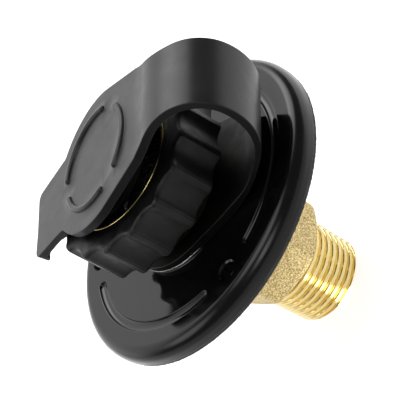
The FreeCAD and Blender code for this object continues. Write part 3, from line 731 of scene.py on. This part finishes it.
def cap_outline():
    """Outline of the whole cap laid flat, counter-clockwise in (s, y)."""
    lid = [(LID_S + 27.0, 0), (LID_S + 27.0, 8.2, 2.0), (LID_S + 14.6, 10.45, 1.6)]
    lid += [(LID_S - LID_R * cos(radians(a)), LID_R * sin(radians(a))) for a in np.arange(142.5, 73.0, -2.5)]
    lid += [(LID_S - LID_R * cos(radians(73.2)), LID_R * sin(radians(73.2)))]
    top = np.arange(BEND_END - 1.5, 40.0, -0.8)
    width = flare(strap_frame(top)[0])
    upper = [(s, w) for s, w in zip(top, width) if s > 56 and w > STRAP_W + 0.01]
    ring = [(33.0, STRAP_W, 25.0), (17.0 * cos(radians(75.2)), 17.0 * sin(radians(75.2)))]
    ring += [(17.0 * cos(radians(a)), 17.0 * sin(radians(a))) for a in np.arange(78, 180.1, 3.0)]
    half = rounded(lid + upper + ring, 8)
    whole = np.vstack([half, (half * [1, -1])[-2:0:-1]])
    return densify(whole, 0.8)


def cap_sheet():
    """The cap as one flat sheet with its hole, ribs and plug, in sheet coordinates."""
    shell = Shell()
    edge = 0.18
    side = [tuple(p) for p in rounded([(0.9, 0), (0, 0, edge), (0, THICK, edge), (0.9, THICK)], 5)]
    outer_top, outer_bottom = shell.sweep(cap_outline(), side)
    hole_side = [tuple(p) for p in rounded([(0.6, 0), (0, 0, 0.3), (0, THICK, 0.3), (0.6, THICK)], 4)]
    hole_top, hole_bottom = shell.sweep(circle(11.9, 128), hole_side, True)
    across = np.arange(-15.75, 15.8, 1.5)
    rows = np.arange(14.5, LID_S - 12, 0.9)
    grid = np.array([(s, y) for s in rows for y in across])
    disc = np.array([(LID_S + r * cos(a), r * sin(a)) for r in (4.0, 8.0, 15.6)
                     for a in np.linspace(0, 2 * pi, int(r * 5), endpoint=False)])
    holes_top = [hole_top]
    half, height = 0.85, 0.85
    rib = [(half * (1 - sin(a)), -height * cos(a)) for a in np.linspace(0.16, 1.45, 8)]
    rib += [(-0.06, -0.02), (-0.2, 0)]
    for radius, middle, span in RIBS:
        first, last = shell.sweep(slot_outline(radius, half, middle, span, 46, 8) + [LID_S, 0], rib)
        holes_top.append(last)
        shell.fill(first, [], -1)
    shell.fill(outer_top, holes_top, -1, np.vstack([grid, disc]))
    plug = rounded([(-0.5, THICK), (0, THICK, 0.35), (0, 5.7, 0.2), (-0.25, 6.1, 0.2), (-0.25, 6.7, 0.25),
                    (0.35, 7.2, 0.3), (2.0, 7.2, 0.5), (2.0, THICK, 0.35), (2.5, THICK)], 4)
    plug_outer, plug_inner = shell.sweep(circle(11.5, 128, LID_S, 0), [tuple(p) for p in plug])
    tab = np.array([(s, y) for s in np.arange(LID_S + 24.0, LID_S + 26.8, 0.25)
                    for y in np.arange(-7.8, 7.9, 0.6)])
    clear = grid[np.hypot(grid[:, 0] - LID_S, grid[:, 1]) > 13.2]
    shell.fill(outer_bottom, [hole_bottom[::-1], plug_outer], 1, np.vstack([clear, tab]))
    shell.fill(plug_inner, [], 1, disc[np.hypot(disc[:, 0] - LID_S, disc[:, 1]) < 9])
    return shell


def cap_pieces():
    """Bend the flat cap to its rest shape, giving the lengths along it at which it is parted."""
    shell = cap_sheet()
    points, normals = np.vstack(shell.points), np.vstack(shell.normals)
    s, y, t = points.T
    beyond = s - LID_S
    thin = 1 - TAB_THINNING * smooth_step(beyond, 16.6, 18.4)
    bead = BEAD_HEIGHT * np.exp(-((beyond - BEAD_PLACE) / BEAD_HALF) ** 4)
    bead = bead * smooth_step(-np.abs(y), -9.2, -8.6)
    under = smooth_step(t, 0.6 * THICK, THICK) * (beyond > 20)
    t = np.where(beyond > 14, t * thin + bead * under, t)
    t = t * (1 - ROOT_THINNING * smooth_step(s, 16.5, 25.0) * (1 - smooth_step(s, 30.0, 46.0)))
    corner = smooth_step(beyond, 14.6, 27.0) * smooth_step(-y, 2.0, 8.2)
    s, y = s + CORNER_ALONG * corner, y - CORNER_ACROSS * corner
    x, z, heading = strap_frame(s)
    c, h = np.cos(heading), np.sin(heading)
    place = np.column_stack([x - t * h, y, z + t * c])
    way = np.column_stack([normals[:, 0] * c - normals[:, 2] * h, normals[:, 1],
                           normals[:, 0] * h + normals[:, 2] * c])
    return place, way, shell.faces, s, points[:, 2]


def make_cap():
    """The three pieces of the cap, parted at two lengths along it; walls and underside get a duller, darker
    rubber, and the darkness is painted shade.
    """
    place, way, faces, s, depth = cap_pieces()
    cuts = [(-np.inf, CUT_LOW), (CUT_LOW, CUT_HIGH), (CUT_HIGH, np.inf)]
    names = ["cap_ring_and_root", "cap_strap_over", "cap_lid_and_tab"]
    replaced = [("cap_ring", "cap_strap_bend"), ("cap_strap_top",), ("cap_lid",)]
    blends = [("cap_base", "strap_bend", (25, 0, 9), (37.5, 0, 19.5)),
              ("strap_bend", "strap_top", (39.5, 0, 29.5), (29.5, 0, 36.5)),
              ("strap_top", "lid", (21.5, 0, 36.0), (13.0, 0, 33.9))]
    for name, (low, high), nodes, (a, b, start, end) in zip(names, cuts, replaced, blends):
        chosen = [f for f in faces if low <= np.mean(s[f]) < high]
        used = sorted({i for f in chosen for i in f})
        renumber = {old: new for new, old in enumerate(used)}
        mine = [[renumber[i] for i in f] for f in chosen]
        piece = new_object(name, place[used], mine, RUBBER, way[used])
        piece.data.materials.append(SHADED_WALL)
        # Walls and underside take the darker rubber: painted shade.
        for face, f in zip(piece.data.polygons, chosen):
            share = np.mean(depth[f]) / THICK
            face.material_index = int(0.3 < share < 0.92 or share > 0.999)
        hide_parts(*nodes)
        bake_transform(piece)


# ---------------------------------------------------------------- small inner pieces
def make_ring_stiffener():
    """Thin steel washer moulded into the foot of the cap's ring."""
    section = rounded([(15.2, 5.97), (15.2, 6.35, 0.1), (17.05, 6.35, 0.16), (17.05, 5.97)], 5)
    turn = np.linspace(0, 2 * pi, 240, endpoint=False)
    rows = [axis_ring(radius, z, turn) for radius, z in section[::-1]]
    piece = grid_object("ring_stiffener", np.array(rows), STEEL, True, 50)
    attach(piece, "cap_base")


def make_spring():
    """Helical spring with closed ends."""
    turns, mean, wire, low = 6.0, 3.0, 0.4, -17.0
    n, m = 360, 12
    along = np.linspace(0, 1, n)
    angle = along * turns * 2 * pi
    rise = np.interp(along * turns, [0, 1, turns - 1, turns], [0, 0.85, 8.2 - 0.85, 8.2])
    centre = np.column_stack([mean * np.cos(angle), mean * np.sin(angle), low + wire + rise])
    out = np.column_stack([np.cos(angle), np.sin(angle), 0 * angle])
    points = []
    for k in range(m):
        a = 2 * pi * k / m
        points.append(centre + wire * (cos(a) * out + sin(a) * np.array([0, 0, 1.0])))
    grid = np.stack(points, 1)[:, ::-1]
    index = np.arange(n * m).reshape(n, m)
    faces = np.stack([index[:-1], np.roll(index[:-1], -1, 1), np.roll(index[1:], -1, 1), index[1:]], -1)
    faces = faces.reshape(-1, 4).tolist() + [index[0][::-1].tolist(), index[-1].tolist()]
    piece = new_object("spring_coil", grid.reshape(-1, 3), faces, STEEL)
    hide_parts("poppet_spring")
    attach(piece, "fitting")
    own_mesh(piece)


def finish_cad_nodes():
    """Materials on the CAD nodes that stay in view."""
    looks = {"body_circlip": STEEL, "body_oring": SEAL, "swivel_ring": STEEL, "hose_washer": WASHER,
             "screen_rim": STEEL, "inlet_screen": STEEL, "poppet": WHITE, "poppet_seal": SEAL,
             "valve_guide": WHITE, "guide_clip": STEEL}
    for name, material in looks.items():
        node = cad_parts[name]
        if not node.material_slots:
            node.data.materials.append(material)
        for slot in node.material_slots:
            slot.material = material


# ---------------------------------------------------------------- floor, light and camera
# Pool of light on the floor: direction, where it starts to fade and where it is gone, in metres
POOL = [((-0.47, -0.88, 0), 0.045, 0.16), ((0.77, -0.64, 0), 0.047, 0.13)]
POOL_STRENGTH = 0.7
# Panels of light: direction, full within this many degrees, gone beyond this many, strength
GLOW = 0.18
PANELS = [((-0.10, 0.67, 0.74), 10, 30, 3.6), ((-0.80, 0.47, 0.25), 30, 58, 1.12),
          ((0.1, -0.1, 1.0), 8, 24, 2.8), ((0.55, -0.62, 0.56), 5, 17, 3.2),
          ((-0.585, -0.486, 0.614), 6, 22, 2.4)]
LAMP_PLACE, LAMP_TURN = (0.0115, -0.0205, -0.0384), 25.3
LAMP_WIDTH, LAMP_LENGTH, LAMP_POWER = 0.005, 0.030, 0.0013
CAMERA_PLACE = Vector((368.3, -396.0, 320.1)) * MM
CAMERA_AXES = Matrix(((0.654, 0.480, 0.585), (0.000, 0.773, -0.634), (-0.756, 0.415, 0.506)))
CAMERA_LENS = 247.5


def make_floor():
    """A pale floor with a glow of its own, a painted pool of light that dies away towards the front and the
    right.
    """
    m = Nodes("pale_floor", Roughness=0.9, Emission_Color=(1, 1, 1, 1))
    m.glow(POOL, POOL_STRENGTH)
    m.colour(m.ramp(m.noise(3, 2), [(0.3, (0.63, 0.63, 0.63)), (0.7, (0.65, 0.65, 0.65))]))
    size = 6000.0
    mesh = bpy.data.meshes.new("floor")
    mesh.from_pydata([(x * MM, y * MM, FLOOR_Z * MM) for x, y in
                      ((-size, -size), (size, -size), (size, size), (-size, size))], [], [[0, 1, 2, 3]])
    mesh.materials.append(m.material)
    floor = bpy.data.objects.new("floor", mesh)
    bpy.context.scene.collection.objects.link(floor)


def make_light():
    """Studio surroundings: a low even glow with broad soft panels placed by direction."""
    world = bpy.data.worlds.new("studio")
    bpy.context.scene.world = world
    world.use_nodes = True
    tree = world.node_tree
    way = tree.nodes.new("ShaderNodeTexCoord").outputs["Generated"]
    total = None
    for direction, inner, outer, strength in PANELS:
        across = tree.nodes.new("ShaderNodeVectorMath")
        across.operation = "DOT_PRODUCT"
        across.inputs[1].default_value = Vector(direction).normalized()
        tree.links.new(way, across.inputs[0])
        level = tree.nodes.new("ShaderNodeMapRange")
        level.interpolation_type = "SMOOTHSTEP"
        level.inputs["From Min"].default_value = cos(radians(outer))
        level.inputs["From Max"].default_value = cos(radians(inner))
        level.inputs["To Max"].default_value = strength
        tree.links.new(across.outputs["Value"], level.inputs["Value"])
        add = tree.nodes.new("ShaderNodeMath")
        add.operation = "ADD"
        add.inputs[1].default_value = GLOW
        if total is not None:
            tree.links.new(total, add.inputs[1])
        tree.links.new(level.outputs["Result"], add.inputs[0])
        total = add.outputs["Value"]
    tree.nodes["Background"].inputs["Color"].default_value = (1, 1, 1, 1)
    tree.links.new(total, tree.nodes["Background"].inputs["Strength"])


def make_lamp():
    """A strip lamp lying on the floor beside the pipe thread, for a highlight along its crests."""
    data = bpy.data.lights.new("strip", "AREA")
    data.shape, data.size, data.size_y, data.energy = "RECTANGLE", LAMP_WIDTH, LAMP_LENGTH, LAMP_POWER
    lamp = bpy.data.objects.new("strip", data)
    lamp.location = LAMP_PLACE
    lamp.rotation_euler = (pi, 0, radians(LAMP_TURN))
    bpy.context.scene.collection.objects.link(lamp)


def make_camera():
    """Long-lens camera at a raised three-quarter view."""
    data = bpy.data.cameras.new("camera")
    data.lens, data.sensor_width = CAMERA_LENS, 36.0
    camera = bpy.data.objects.new("camera", data)
    camera.matrix_world = Matrix.Translation(CAMERA_PLACE) @ CAMERA_AXES.to_4x4()
    bpy.context.scene.collection.objects.link(camera)
    bpy.context.scene.camera = camera


make_flange()
make_gasket()
make_valve_body()
make_collar()
make_hose_insert()
make_cap()
make_spring()
make_ring_stiffener()
finish_cad_nodes()
make_floor()
make_light()
make_lamp()
make_camera()
bpy.context.scene.view_settings.view_transform = "Standard"
